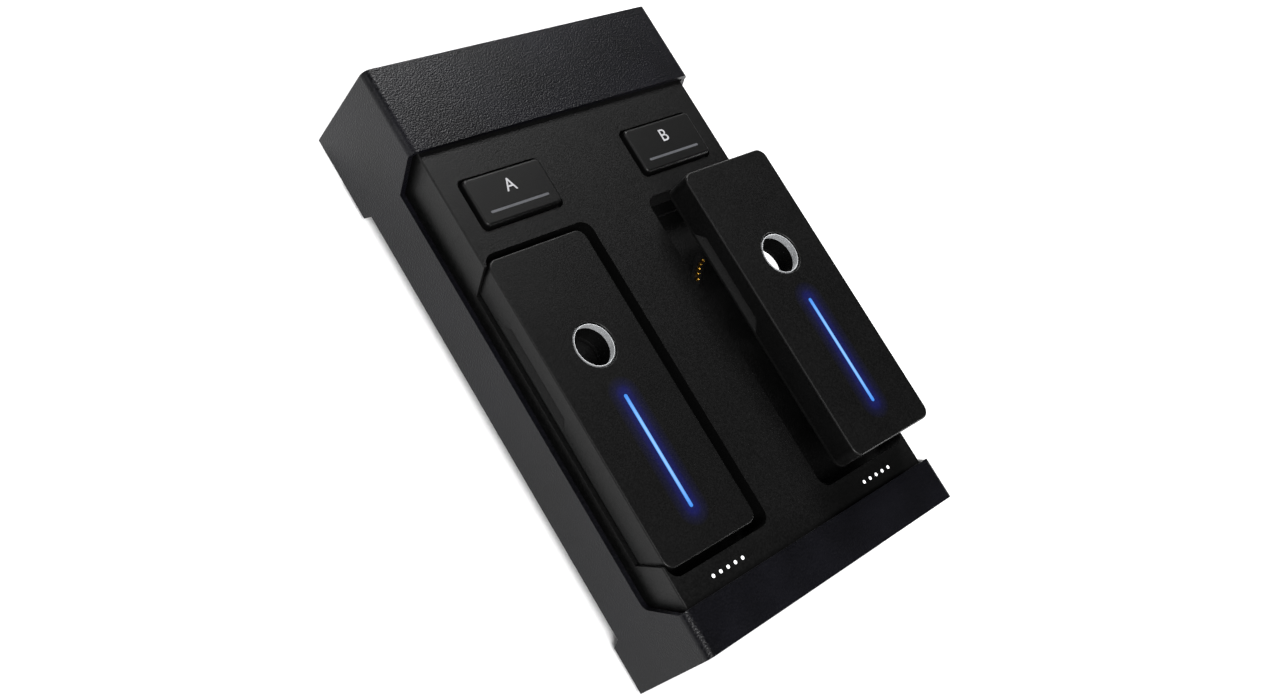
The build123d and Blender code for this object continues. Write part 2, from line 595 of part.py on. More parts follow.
for tag, side in (("a", -1), ("b", 1)):
    key_centre = (side * KEY_X, KEY_Y)
    posts = [(side * KEY_X + d * SWITCH_SPREAD, KEY_Y) for d in (-1, 1)]
    with BuildPart() as key_cap:
        with BuildSketch(Plane.XY.offset(flange_low)):
            with Locations(key_centre):
                RectangleRounded(cap_x, cap_y, KEY_CORNER)
        extrude(amount=key_top - flange_low)
        fillet(key_cap.edges().group_by(Axis.Z)[-1], KEY_ROUND)
        with BuildSketch(Plane.XY.offset(flange_low)):
            with Locations(key_centre):
                RectangleRounded(
                    KEY_OPENING[0] + 2 * KEY_FLANGE_LAP, KEY_OPENING[1] + 2 * KEY_FLANGE_LAP,
                    KEY_FLANGE_CORNER,
                )
        extrude(amount=flange_high - flange_low)
        with BuildSketch(Plane.XY.offset(flange_low)):
            with Locations(key_centre):
                Rectangle(cap_x - 2 * KEY_WALL, cap_y - 2 * KEY_WALL)
        extrude(amount=cap_roof - flange_low, mode=Mode.SUBTRACT)
        with BuildSketch(Plane.XY.offset(stem_top + SLIP)):
            with Locations(*posts):
                Circle(STEM_RADIUS)
        extrude(amount=cap_roof - stem_top - SLIP)
        with BuildSketch(Plane.XY.offset(cap_roof)):
            with Locations((side * KEY_X, KEY_BAR_Y)):
                SlotOverall(*KEY_BAR)
        extrude(amount=key_top - cap_roof, mode=Mode.SUBTRACT)
    save(key_cap, f"key_{tag}_cap")

    with BuildPart() as key_bar:
        with BuildSketch(Plane.XY.offset(cap_roof)):
            with Locations((side * KEY_X, KEY_BAR_Y)):
                SlotOverall(KEY_BAR[0] - FIT, KEY_BAR[1] - FIT)
        extrude(amount=key_top - cap_roof)
        with BuildSketch(Plane.XY.offset(cap_roof - KEY_BAR_FLANGE[2])):
            with Locations((side * KEY_X, KEY_BAR_Y + KEY_BAR_FLANGE_SHIFT)):
                Rectangle(KEY_BAR_FLANGE[0], KEY_BAR_FLANGE[1])
        extrude(amount=KEY_BAR_FLANGE[2])
    save(key_bar, f"key_{tag}_bar")

    with BuildPart() as key_stems:
        with BuildSketch(Plane.XY.offset(stem_low)):
            with Locations(*posts):
                Circle(STEM_RADIUS)
        extrude(amount=stem_top - stem_low)
    save(key_stems, f"key_{tag}_stems")

# ---------------------------------------------------------------- dock contacts and magnets
block_low = dock_under - PIN_BLOCK[2]
pin_low = block_low + PIN_FOOT_RISE
collar_high = dock_floor - COLLAR_DROP
for tag, side in (("a", -1), ("b", 1)):
    spots = arc_points(side * DOCK_X, SPINDLE_Y)
    with BuildPart() as pin_block:
        with BuildSketch(arc_middle(side * DOCK_X, SPINDLE_Y, block_low)):
            Rectangle(PIN_BLOCK[0], PIN_BLOCK[1])
        extrude(amount=dock_under - SLIP - block_low)
        with BuildSketch(arc_middle(side * DOCK_X, SPINDLE_Y, block_low)):
            Rectangle(PIN_SLOT[0] - 2 * SLIP, PIN_SLOT[1] - 2 * SLIP)
        extrude(amount=dock_floor - block_low)
        with BuildSketch(Plane.XY.offset(block_low)):
            with Locations(*spots):
                Circle(COLLAR_RADIUS + COLLAR_GAP)
        extrude(amount=collar_high + SLIP - block_low, mode=Mode.SUBTRACT)
        with BuildSketch(Plane.XY.offset(block_low)):
            with Locations(*spots):
                Circle(PIN_RADIUS + SLIP)
        extrude(amount=dock_floor - block_low, mode=Mode.SUBTRACT)
    save(pin_block, f"pin_block_{tag}")

    with BuildPart() as contact_pins:
        with BuildSketch(Plane.XY.offset(pin_low)):
            with Locations(*spots):
                Circle(PIN_RADIUS)
        extrude(amount=dock_floor + PIN_PROUD - pin_low)
        fillet(contact_pins.edges().group_by(Axis.Z)[-1], PIN_ROUND)
        with BuildSketch(Plane.XY.offset(collar_high - COLLAR_HEIGHT)):
            with Locations(*spots):
                Circle(COLLAR_RADIUS)
        extrude(amount=COLLAR_HEIGHT)
    save(contact_pins, f"contact_pins_{tag}")

# Magnets under both dock floors.
with BuildPart() as dock_magnets:
    with BuildSketch(Plane.XY.offset(dock_under - SLIP - DOCK_MAGNET_HEIGHT)):
        with Locations(*[(s * DOCK_X, y) for s in (-1, 1) for y in MAGNET_YS]):
            Circle(MAGNET_RADIUS)
    extrude(amount=DOCK_MAGNET_HEIGHT)
save(dock_magnets, "dock_magnets")


# ================================================================ remotes
def grip_cut(x, low, side):
    """Finger notch in a remote's long side: a shelf above, a face that slopes out below."""
    shelf = low + REMOTE_HEIGHT - GRIP_SHELF
    foot = low + REMOTE_BASE
    with BuildPart() as cut:
        with BuildSketch(Plane.YZ.offset(x + side * REMOTE_WIDTH / 2)):
            Polygon(
                (GRIP_BACK, shelf),
                (GRIP_BACK + GRIP_SLANT, foot),
                (GRIP_FRONT - GRIP_SLANT, foot),
                (GRIP_FRONT, shelf),
                align=None,
            )
        extrude(amount=GRIP_DEPTH, both=True)
        with BuildSketch(Plane.XZ.offset(-GRIP_BACK - 2 * GRIP_SLANT)):
            edge = x + side * REMOTE_WIDTH / 2
            Polygon(
                (edge, foot),
                (edge - side * GRIP_DEPTH, shelf),
                (edge - side * 3 * GRIP_DEPTH, shelf),
                (edge - side * 3 * GRIP_DEPTH, foot),
                align=None,
            )
        extrude(amount=GRIP_BACK - GRIP_FRONT + 4 * GRIP_SLANT, mode=Mode.SUBTRACT)
    return cut.part


for tag, x, lift in (("a", -DOCK_X, 0.0), ("b", DOCK_X, REMOTE_B_LIFT)):
    low = remote_low + lift
    top = low + REMOTE_HEIGHT
    wall_low = low + REMOTE_BASE
    ceiling = top - REMOTE_ROOF
    boss_spots = [
        (x + i * REMOTE_BOSS_X, REMOTE_Y + j * REMOTE_BOSS_Y) for i in (-1, 1) for j in (-1, 1)
    ]
    name = f"remote_{tag}"
    grips = [grip_cut(x, low, side) for side in (-1, 1)]

    with BuildPart() as top_shell:
        with BuildSketch(Plane.XY.offset(wall_low)):
            with Locations((x, REMOTE_Y)):
                RectangleRounded(REMOTE_WIDTH, REMOTE_LENGTH, REMOTE_CORNER)
        extrude(amount=top - wall_low)
        fillet(top_shell.edges().group_by(Axis.Z)[-1], EDGE_ROUND)
        with BuildSketch(Plane.XY.offset(wall_low)):
            with Locations((x, REMOTE_Y)):
                RectangleRounded(
                    REMOTE_WIDTH - 2 * REMOTE_WALL, REMOTE_LENGTH - 2 * REMOTE_WALL,
                    REMOTE_CORNER - REMOTE_WALL,
                )
        extrude(amount=ceiling - wall_low, mode=Mode.SUBTRACT)
        # thicker wall behind the grips, screw bosses, barrel round the spindle bore
        with BuildSketch(Plane.XY.offset(wall_low)):
            for side in (-1, 1):
                pad_x = x + side * (REMOTE_WIDTH / 2 - REMOTE_WALL - GRIP_PAD_INSET)
                with Locations((pad_x, (GRIP_BACK + GRIP_FRONT) / 2)):
                    Rectangle(GRIP_PAD, GRIP_BACK - GRIP_FRONT + 4 * GRIP_SLANT)
            with Locations(*boss_spots):
                Circle(REMOTE_BOSS_RADIUS)
            with Locations((x, SPINDLE_Y)):
                Circle(LINER_RADIUS + BARREL_WALL)
        extrude(amount=ceiling - wall_low)
        for grip in grips:
            add(grip, mode=Mode.SUBTRACT)
        with BuildSketch(Plane.XY.offset(wall_low)):
            with Locations(*boss_spots):
                Circle(REMOTE_PILOT)
        extrude(amount=REMOTE_PILOT_DEPTH, mode=Mode.SUBTRACT)
        # straight bore, with a seat for the liner and a broken edge at the top
        liner_low = top - LINER_SUNK - LINER_HEIGHT
        with BuildSketch(Plane.XY.offset(wall_low)):
            with Locations((x, SPINDLE_Y)):
                Circle(SPINDLE_BORE)
        extrude(amount=top - wall_low, mode=Mode.SUBTRACT)
        with BuildSketch(Plane.XY.offset(liner_low)):
            with Locations((x, SPINDLE_Y)):
                Circle(LINER_RADIUS + FIT)
        extrude(amount=top - liner_low, mode=Mode.SUBTRACT)
        rim = top_shell.faces().sort_by(Axis.Z)[-1].edges().filter_by(GeomType.CIRCLE)
        chamfer(rim.sort_by(SortBy.RADIUS)[-1], RIM_CHAMFER)
        with BuildSketch(Plane.XY.offset(ceiling)):
            with Locations((x, LIGHT_BAR_Y)):
                SlotOverall(LIGHT_BAR_LENGTH, LIGHT_BAR_WIDTH, rotation=90)
        extrude(amount=REMOTE_ROOF, mode=Mode.SUBTRACT)
    save(top_shell, f"{name}_top_shell")

    with BuildPart() as bottom_shell:
        with BuildSketch(Plane.XY.offset(low)):
            with Locations((x, REMOTE_Y)):
                RectangleRounded(REMOTE_WIDTH, REMOTE_LENGTH, REMOTE_CORNER)
        extrude(amount=REMOTE_BASE)
        fillet(bottom_shell.edges().group_by(Axis.Z)[0], REMOTE_BASE_ROUND)
        with BuildSketch(Plane.XY.offset(low)):
            with Locations((x, SPINDLE_Y)):
                Circle(SPINDLE_BORE)
            with Locations(*boss_spots):
                Circle(REMOTE_SCREW_HOLE)
        extrude(amount=REMOTE_BASE, mode=Mode.SUBTRACT)
        with BuildSketch(arc_middle(x, SPINDLE_Y, low)):
            SlotOverall(*PAD_SLOT)
        extrude(amount=REMOTE_BASE, mode=Mode.SUBTRACT)
        with Locations(*[(bx, by, low) for bx, by in boss_spots]):
            Cylinder(*REMOTE_SCREW_SEAT, align=STANDING, mode=Mode.SUBTRACT)
    save(bottom_shell, f"{name}_bottom_shell")

    with BuildPart() as spindle_liner:
        with BuildSketch(Plane.XY.offset(liner_low)):
            with Locations((x, SPINDLE_Y)):
                Circle(LINER_RADIUS)
                Circle(SPINDLE_BORE, mode=Mode.SUBTRACT)
        extrude(amount=LINER_HEIGHT)
        chamfer(spindle_liner.edges().group_by(Axis.Z)[-1].sort_by(SortBy.RADIUS)[0], LINER_CHAMFER)
    save(spindle_liner, f"{name}_spindle_liner")

    with BuildPart() as light_bar:
        with BuildSketch(Plane.XY.offset(ceiling)):
            with Locations((x, LIGHT_BAR_Y)):
                SlotOverall(LIGHT_BAR_LENGTH - FIT, LIGHT_BAR_WIDTH - FIT, rotation=90)
        extrude(amount=REMOTE_ROOF)
        with BuildSketch(Plane.XY.offset(ceiling - LIGHT_FLANGE_HEIGHT)):
            with Locations((x, LIGHT_BAR_Y)):
                Rectangle(LIGHT_FLANGE_WIDTH, LIGHT_BAR_LENGTH + LIGHT_FLANGE_LAP)
        extrude(amount=LIGHT_FLANGE_HEIGHT)
    save(light_bar, f"{name}_light_bar")

    with BuildPart() as remote_board:
        with BuildSketch(Plane.XY.offset(low + REMOTE_BOARD_RISE)):
            with Locations((x, REMOTE_Y)):
                Rectangle(REMOTE_BOARD[0], REMOTE_BOARD[1])
            with Locations((x, SPINDLE_Y)):
                Circle(LINER_RADIUS + REMOTE_BOARD_HOLE_GAP, mode=Mode.SUBTRACT)
        extrude(amount=REMOTE_BOARD[2])
    save(remote_board, f"{name}_board")

    with BuildPart() as battery:
        with BuildSketch(Plane.XY.offset(low + BATTERY_RISE)):
            with Locations((x, BATTERY_Y)):
                RectangleRounded(BATTERY[0], BATTERY[1], BATTERY_CORNER)
        extrude(amount=BATTERY[2])
        fillet(battery.edges().filter_by(GeomType.LINE).group_by(Axis.Z)[-1], BATTERY_ROUND)
    save(battery, f"{name}_battery")

    with BuildPart() as contact_board:
        with BuildSketch(arc_middle(x, SPINDLE_Y, wall_low)):
            Rectangle(CONTACT_BOARD[0], CONTACT_BOARD[1])
        extrude(amount=CONTACT_BOARD[2])
    save(contact_board, f"{name}_contact_board")

    with BuildPart() as contact_pads:
        with BuildSketch(Plane.XY.offset(wall_low - PAD_HEIGHT)):
            with Locations(*arc_points(x, SPINDLE_Y)):
                Circle(PAD_RADIUS)
        extrude(amount=PAD_HEIGHT)
    save(contact_pads, f"{name}_contact_pads")

    with BuildPart() as magnets:
        with BuildSketch(Plane.XY.offset(wall_low + SLIP)):
            with Locations(*[(x, y) for y in MAGNET_YS]):
                Circle(MAGNET_RADIUS)
        extrude(amount=REMOTE_MAGNET_HEIGHT)
    save(magnets, f"{name}_magnets")

    with BuildPart() as shell_screws:
        with Locations(*[(bx, by, low) for bx, by in boss_spots]):
            Cylinder(*REMOTE_SCREW_HEAD, align=STANDING)
            Cylinder(*REMOTE_SCREW_SHANK, align=STANDING)
    save(shell_screws, f"{name}_screws")

print(len(written), "pieces")
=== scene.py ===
# %% [markdown]
# A turntable controller's receiver dock, with its two wireless remotes
#
# The dock is a moulded console inside a sleeve of bent, powder-coated sheet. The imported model
# already holds every part at its real size, so this lesson adds what a maker's eye expects on top
# of it: rounded edges that catch the light, turned and printed details, and a finish for each part.

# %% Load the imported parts
import json
from math import pi, radians

import bmesh
import bpy
from mathutils import Euler, Matrix, Vector


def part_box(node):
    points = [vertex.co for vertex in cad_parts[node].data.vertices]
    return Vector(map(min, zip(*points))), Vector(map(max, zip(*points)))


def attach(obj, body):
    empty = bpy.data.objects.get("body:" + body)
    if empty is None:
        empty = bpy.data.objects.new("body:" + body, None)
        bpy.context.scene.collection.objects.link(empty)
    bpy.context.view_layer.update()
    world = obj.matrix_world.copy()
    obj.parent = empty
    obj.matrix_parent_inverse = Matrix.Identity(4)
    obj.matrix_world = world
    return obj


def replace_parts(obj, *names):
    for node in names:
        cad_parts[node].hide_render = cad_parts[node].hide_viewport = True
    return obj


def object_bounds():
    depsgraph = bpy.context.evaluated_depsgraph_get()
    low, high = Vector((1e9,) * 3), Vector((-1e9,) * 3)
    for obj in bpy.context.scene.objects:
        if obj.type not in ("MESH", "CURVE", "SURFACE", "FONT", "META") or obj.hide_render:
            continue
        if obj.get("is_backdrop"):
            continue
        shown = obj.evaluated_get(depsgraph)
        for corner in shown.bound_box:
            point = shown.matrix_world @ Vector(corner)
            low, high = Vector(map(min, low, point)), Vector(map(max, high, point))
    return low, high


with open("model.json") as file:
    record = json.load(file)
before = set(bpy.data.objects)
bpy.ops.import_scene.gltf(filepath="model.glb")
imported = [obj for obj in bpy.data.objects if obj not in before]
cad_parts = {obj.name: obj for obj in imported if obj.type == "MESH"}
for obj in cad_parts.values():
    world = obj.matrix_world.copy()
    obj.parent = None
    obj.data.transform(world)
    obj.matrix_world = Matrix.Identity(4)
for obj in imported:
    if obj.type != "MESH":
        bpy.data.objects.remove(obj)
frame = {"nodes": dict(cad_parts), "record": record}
cad_low, cad_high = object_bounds()
parts = frame["nodes"]
slot_of = {row["node"]: row["material_slot"] for row in frame["record"]["subparts"]}
body_of = {}
for body, held in frame["record"]["behaviour"]["bodies"].items():
    body_of.update({node: body for node in held})
MM = 0.001
print(len(parts), "parts,", len(set(slot_of.values())), "finishes")
print("size in mm:", [round(side / MM, 1) for side in cad_high - cad_low])

# %% [markdown]
# The camera
#
# A view from the left, high up and rolled on its side, makes a low box look lively. Three plain
# turns say it: the heading, how far it looks down, and the roll about its own axis. A Track To
# constraint could aim it too, but a constraint can't roll the frame.

# %% Camera
CAMERA_PLACE = Vector((-255.023, -60.730, 306.351)) * MM
HEADING, LOOK_DOWN, ROLL = 77.7346, 48.6010, 49.5879
LENS, SENSOR = 40.998, 36.0

camera_data = bpy.data.cameras.new("camera")
camera_data.lens, camera_data.sensor_width = LENS, SENSOR
camera_data.clip_start = 10 * MM
camera = bpy.data.objects.new("camera", camera_data)
aim = Euler((radians(90 - LOOK_DOWN), 0, radians(-HEADING)), "XYZ").to_matrix().to_4x4()
roll = Matrix.Rotation(radians(ROLL), 4, "Z")
camera.matrix_world = Matrix.Translation(CAMERA_PLACE) @ aim @ roll
bpy.context.scene.collection.objects.link(camera)
bpy.context.scene.camera = camera
print("camera looks along", [round(x, 3) for x in camera.matrix_world.col[2].xyz * -1])

# %% [markdown]
# The studio
#
# Black plastic shows mostly what it reflects, so the lamps are placed for their reflections. A
# broad sun from the left keeps the floor white, and its shadow falls behind the object. A soft
# panel behind on the right is what the top faces mirror, so they fade from the back to the front.
# A panel on the left lights the bends and the finger grips, and a low strip in front on the right
# draws thin light lines along the front edges.

# %% Lamps and floor
def linear(colour):
    """An sRGB hex colour as linear red, green, blue and alpha."""
    parts_of_255 = [int(colour[i:i + 2], 16) / 255 for i in (1, 3, 5)]
    return [c / 12.92 if c <= 0.04045 else ((c + 0.055) / 1.055) ** 2.4 for c in parts_of_255] + [1.0]


def lamp(name, kind, place, energy, size=None, spread=None):
    """A lamp at place, aimed at the middle of the object."""
    data = bpy.data.lights.new(name, kind)
    data.energy = energy
    if kind == "SUN":
        data.angle = spread
    else:
        data.shape, data.size, data.size_y = "RECTANGLE", *size
    lit = bpy.data.objects.new(name, data)
    toward = middle - Vector(place)
    lit.matrix_world = Matrix.Translation(place) @ toward.to_track_quat("-Z", "Y").to_matrix().to_4x4()
    bpy.context.scene.collection.objects.link(lit)


middle = (cad_low + cad_high) / 2
lamp("broad_sun", "SUN", (-0.42, -0.42, 0.82), 4.1, spread=radians(35))
lamp("back_panel", "AREA", (0.30, 0.62, 0.60), 8.0, size=(0.40, 0.30))
lamp("left_panel", "AREA", (-0.70, 0.30, 0.42), 1.2, size=(0.30, 0.40))
lamp("front_strip", "AREA", (0.55, -0.62, 0.14), 3.0, size=(0.70, 0.10))

ROOM_LIGHT = 0.03
world = bpy.data.worlds.new("studio_room")
world.use_nodes = True
background = world.node_tree.nodes["Background"]
background.inputs["Color"].default_value = linear("#ffffff")
background.inputs["Strength"].default_value = ROOM_LIGHT
bpy.context.scene.world = world
bpy.context.scene.view_settings.view_transform = "Standard"

FLOOR_HALF = 8.0
sheet = bmesh.new()
bmesh.ops.create_grid(sheet, x_segments=8, y_segments=8, size=FLOOR_HALF)
floor_mesh = bpy.data.meshes.new("floor")
sheet.to_mesh(floor_mesh)
sheet.free()
floor = bpy.data.objects.new("floor", floor_mesh)
bpy.context.scene.collection.objects.link(floor)
floor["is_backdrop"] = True

# %% [markdown]
# How a finish is made
#
# Every finish starts from a Principled shader with the colour, roughness and metallic of the real
# material. Object coordinates are in metres here, so a grain of half a millimetre keeps its size
# on every part. One helper adds any node, with its settings and its links.

# %% Node and finish helpers
def add(tree, kind, inputs=None, **settings):
    """Add a node: settings are its own, and inputs are numbers, colours or sockets to link."""
    made = tree.nodes.new(kind)
    for name, value in settings.items():
        setattr(made, name, value)
    for name, value in (inputs or {}).items():
        if isinstance(value, bpy.types.NodeSocket):
            tree.links.new(value, made.inputs[name])
        else:
            made.inputs[name].default_value = value
    return made


def start_finish(name, roughness, metallic=0.0):
    """A material with its shader, and the object coordinates that its patterns follow."""
    material = bpy.data.materials.new(name)
    material.use_nodes = True
    tree = material.node_tree
    tree.nodes.clear()
    shader = add(tree, "ShaderNodeBsdfPrincipled", {"Roughness": roughness, "Metallic": metallic})
    add(tree, "ShaderNodeOutputMaterial", {"Surface": shader.outputs["BSDF"]})
    place = add(tree, "ShaderNodeTexCoord").outputs["Object"]
    return material, tree, shader, place


PATCH = 40  # a soft unevenness this many times wider than the grain
# A noise texture seldom leaves the middle of its range, so shades and gloss are spread over that.
MIDDLE_OF_NOISE = (0.36, 0.64)
MOST_OF_NOISE = (0.3, 0.7)


def grain(tree, shader, place, size_mm, depth_mm, shades, rough, detail=3.0):
    """A fine texture of a real size: two shades of colour, a range of roughness, and its relief."""
    fine = add(tree, "ShaderNodeTexNoise", {"Vector": place, "Scale": 1 / (size_mm * MM), "Detail": detail})
    patch = PATCH * size_mm * MM
    broad = add(tree, "ShaderNodeTexNoise", {"Vector": place, "Scale": 1 / patch, "Detail": 2.0})
    both = add(tree, "ShaderNodeMath", {0: fine.outputs["Fac"], 1: broad.outputs["Fac"]}, operation="ADD")
    half = add(tree, "ShaderNodeMath", {0: both.outputs[0], 1: 0.5}, operation="MULTIPLY")
    ramp = add(tree, "ShaderNodeValToRGB", {"Fac": half.outputs[0]})
    for stop, place_on_ramp, shade in zip(ramp.color_ramp.elements, MIDDLE_OF_NOISE, shades):
        stop.position, stop.color = place_on_ramp, linear(shade)
    gloss = add(tree, "ShaderNodeMapRange", {
        "Value": fine.outputs["Fac"], "From Min": MOST_OF_NOISE[0], "From Max": MOST_OF_NOISE[1],
        "To Min": rough[0], "To Max": rough[1]})
    relief = add(tree, "ShaderNodeBump", {"Height": fine.outputs["Fac"], "Distance": depth_mm * MM})
    tree.links.new(ramp.outputs["Color"], shader.inputs["Base Color"])
    tree.links.new(gloss.outputs["Result"], shader.inputs["Roughness"])
    tree.links.new(relief.outputs["Normal"], shader.inputs["Normal"])


def dull(shader, level):
    """A plastic's or paint's own IOR, with the share of its gloss that a rough skin leaves."""
    shader.inputs["IOR"].default_value = 1.5
    shader.inputs["Specular IOR Level"].default_value = level


MARK_DEPTH_MM = 0.004


def plating(name, shades, rough, line_mm, stretch=(1, 1, 1)):
    """A bare or plated metal: shades of its colour, and fine marks that run along one direction."""
    material, tree, shader, place = start_finish(name, rough[0], metallic=1.0)
    drawn = add(tree, "ShaderNodeMapping", {"Vector": place, "Scale": stretch})
    grain(tree, shader, drawn.outputs["Vector"], line_mm, MARK_DEPTH_MM, shades, rough, detail=4.0)
    return material


finishes = {}
print("Blender", bpy.app.version_string, "and its Principled shader make every finish")

# %% [markdown]
# Powder coat
#
# The sleeve is steel sprayed with dry powder and baked. The powder melts into a pebbled skin with
# dimples about half a millimetre wide, so a lamp's reflection breaks up into a fine sparkle. Their
# shaded sides also hide much of the gloss that flat paint would have, so it is turned down. The
# rear panel has the same paint in a finer powder.

# %% Powder coat
PAINT_GLOSS = 0.2
PEBBLE_DEPTH_MM, PEBBLE_ROUGH = 0.10, (0.30, 0.42)


def powder_coat(name, pebble_mm, shades):
    """Baked powder: a non-metal with little gloss over a pebbled skin."""
    material, tree, shader, place = start_finish(name, 0.5)
    grain(tree, shader, place, pebble_mm, PEBBLE_DEPTH_MM, shades, PEBBLE_ROUGH, detail=1.0)
    dull(shader, PAINT_GLOSS)
    return material


finishes["cover_paint"] = powder_coat("textured_powder_coat", 0.45, ("#030305", "#0d0d12"))
finishes["panel_paint"] = powder_coat("fine_powder_coat", 0.35, ("#060607", "#0b0b0c"))
print("paints:", list(finishes))

# %% [markdown]
# Moulded plastic
#
# The console is ABS from a spark-eroded mould, which leaves a matte skin of tiny pits. The base
# comes from a plainer mould and the keys from a smoother one. The black connectors are nylon with
# glass in it, which looks slightly mottled. Real pits are a tenth of a millimetre or finer, and
# they are drawn a few times as wide so that they show.

# %% Moulded plastic
TEXTURED_GLOSS = 0.24


def moulded(name, pit_mm, depth_mm, shades, rough):
    """Plastic with a mould's texture, which traps light and so takes some of its gloss."""
    material, tree, shader, place = start_finish(name, rough[0])
    grain(tree, shader, place, pit_mm, depth_mm, shades, rough)
    dull(shader, TEXTURED_GLOSS)
    return material


# slot: name, pit width and depth in mm, two shades, roughness from and to
PLASTICS = {
    # the eroded pits spread every highlight into a grey veil
    "console_plastic": ("spark_textured_abs", 0.45, 0.045, ("#040404", "#080808"), (0.36, 0.50)),
    # a plain mould, duller and a little greyer
    "base_plastic": ("plain_moulded_abs", 0.6, 0.02, ("#0b0b0c", "#111112"), (0.5, 0.68)),
    # shallow fine pits leave the keys an even, darker sheen
    "key_plastic": ("satin_keycap_abs", 0.25, 0.006, ("#020202", "#060606"), (0.40, 0.50)),
    # the remote's matte underside
    "remote_base_plastic": ("matte_moulded_abs", 0.3, 0.012, ("#050505", "#0a0a0a"), (0.48, 0.62)),
    # glass fibres near the skin leave it mottled
    "connector_plastic": ("glass_filled_nylon", 0.4, 0.01, ("#090909", "#131315"), (0.42, 0.6)),
    # rubber has almost no highlight
    "foot_rubber": ("black_rubber", 0.5, 0.03, ("#0c0c0c", "#141414"), (0.75, 0.92)),
    # polypropylene looks waxy, with a soft clear highlight
    "insert_white": ("white_polypropylene", 0.5, 0.004, ("#d8d7d2", "#e6e5e0"), (0.28, 0.38)),
    "insert_red": ("red_polypropylene", 0.5, 0.004, ("#8e1414", "#a81a18"), (0.28, 0.38)),
    # solder mask over woven glass: green, glossy and slightly uneven
    "board_laminate": ("green_solder_mask", 0.8, 0.008, ("#0d3a20", "#14502c"), (0.3, 0.42)),
}
for slot, plastic in PLASTICS.items():
    finishes[slot] = moulded(*plastic)
print("plastics:", list(PLASTICS))

# %% [markdown]
# Metals
#
# The jacks are turned and plated with nickel or gold, the cans are tinned and the screws are
# blackened. The spindle liners are aluminium blasted with glass beads, so they look pale and satin
# from every side instead of mirroring the room. Metals keep their own colour in reflections, so
# all of these are full metals. Fine marks from drawing or turning stretch the highlights, and they
# are drawn at a few tenths of a millimetre to show.

# %% Metals
# slot: name, two shades, roughness from and to, width of a mark in mm, stretch of the marks
METALS = {
    # bright and warm, with rings from the lathe
    "nickel_plate": ("turned_nickel_plate", ("#a9a59b", "#c4c0b6"), (0.16, 0.30), 0.5, (1, 0.1, 1)),
    # a thin flash of gold, so the yellow is a little brown
    "gold_plate": ("gold_flash_plate", ("#c08a2c", "#dca944"), (0.20, 0.34), 0.25),
    # the blasted skin scatters light into an even silver white
    "liner_silver": ("bead_blasted_silver", ("#dcdee0", "#f2f3f4"), (0.66, 0.80), 0.25),
    # softly streaked along the rolled sheet
    "tin_plate": ("drawn_tin_plate", ("#9c9c98", "#b8b8b3"), (0.28, 0.42), 0.6, (1, 0.15, 1)),
    # dark grey with a dull shine
    "screw_steel": ("black_zinc_steel", ("#3a3a3d", "#55555a"), (0.32, 0.48), 0.3),
    # a smooth grey shine
    "magnet_nickel": ("magnet_nickel_plate", ("#a0a0a0", "#bdbdbd"), (0.2, 0.32), 0.5),
    # soft foil, with wide faint creases
    "battery_foil": ("pouch_foil", ("#a4a6a8", "#c2c4c6"), (0.3, 0.5), 1.5),
}
for slot, metal in METALS.items():
    finishes[slot] = plating(*metal)
print("metals:", list(METALS))

# %% [markdown]
# Lights
#
# Each remote has a frosted acrylic bar lit blue from below. The bar is brightest along its middle,
# and light also leaks sideways through the skin round it, so the shell glows deep blue for a few
# millimetres. Both follow the distance from the bar's own centre line, and move with the remote.

# %% Bar distance
BAR_FLANGE_LAP = 0.5 * MM


def distance_from_bar(tree, place, tag):
    """Sockets: distance from a light bar's centre line in plan, height, and share of its half length."""
    low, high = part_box(f"remote_{tag}_light_bar")
    centre = (low + high) / 2
    half = (high.y - low.y) / 2 - BAR_FLANGE_LAP
    axes = add(tree, "ShaderNodeSeparateXYZ", {"Vector": place})
    across = add(tree, "ShaderNodeMath", {0: axes.outputs["X"], 1: centre.x}, operation="SUBTRACT")
    along = add(tree, "ShaderNodeMath", {0: axes.outputs["Y"], 1: centre.y}, operation="SUBTRACT")
    length = add(tree, "ShaderNodeMath", {0: along.outputs[0]}, operation="ABSOLUTE")
    beyond = add(tree, "ShaderNodeMath", {0: length.outputs[0], 1: half}, operation="SUBTRACT")
    past_end = add(tree, "ShaderNodeMath", {0: beyond.outputs[0], 1: 0.0}, operation="MAXIMUM")
    offset = add(tree, "ShaderNodeCombineXYZ", {"X": across.outputs[0], "Y": past_end.outputs[0]})
    distance = add(tree, "ShaderNodeVectorMath", {0: offset.outputs["Vector"]}, operation="LENGTH")
    toward_end = add(tree, "ShaderNodeMath", {0: length.outputs[0], 1: half}, operation="DIVIDE")
    return distance.outputs["Value"], axes.outputs["Z"], toward_end.outputs[0]


def fade(tree, shader, value, reach, stops, strength):
    """Set the strength of a glow, and give its colour: stops passed as the value goes from 0 to reach."""
    share = add(tree, "ShaderNodeMath", {0: value, 1: reach}, operation="DIVIDE", use_clamp=True)
    ramp = add(tree, "ShaderNodeValToRGB", {"Fac": share.outputs[0]})
    while len(ramp.color_ramp.elements) < len(stops):
        ramp.color_ramp.elements.new(0.5)
    for element, (position, colour) in zip(ramp.color_ramp.elements, stops):
        element.position = position
        element.color = linear(colour)
    shader.inputs["Emission Strength"].default_value = strength
    return ramp.outputs["Color"]


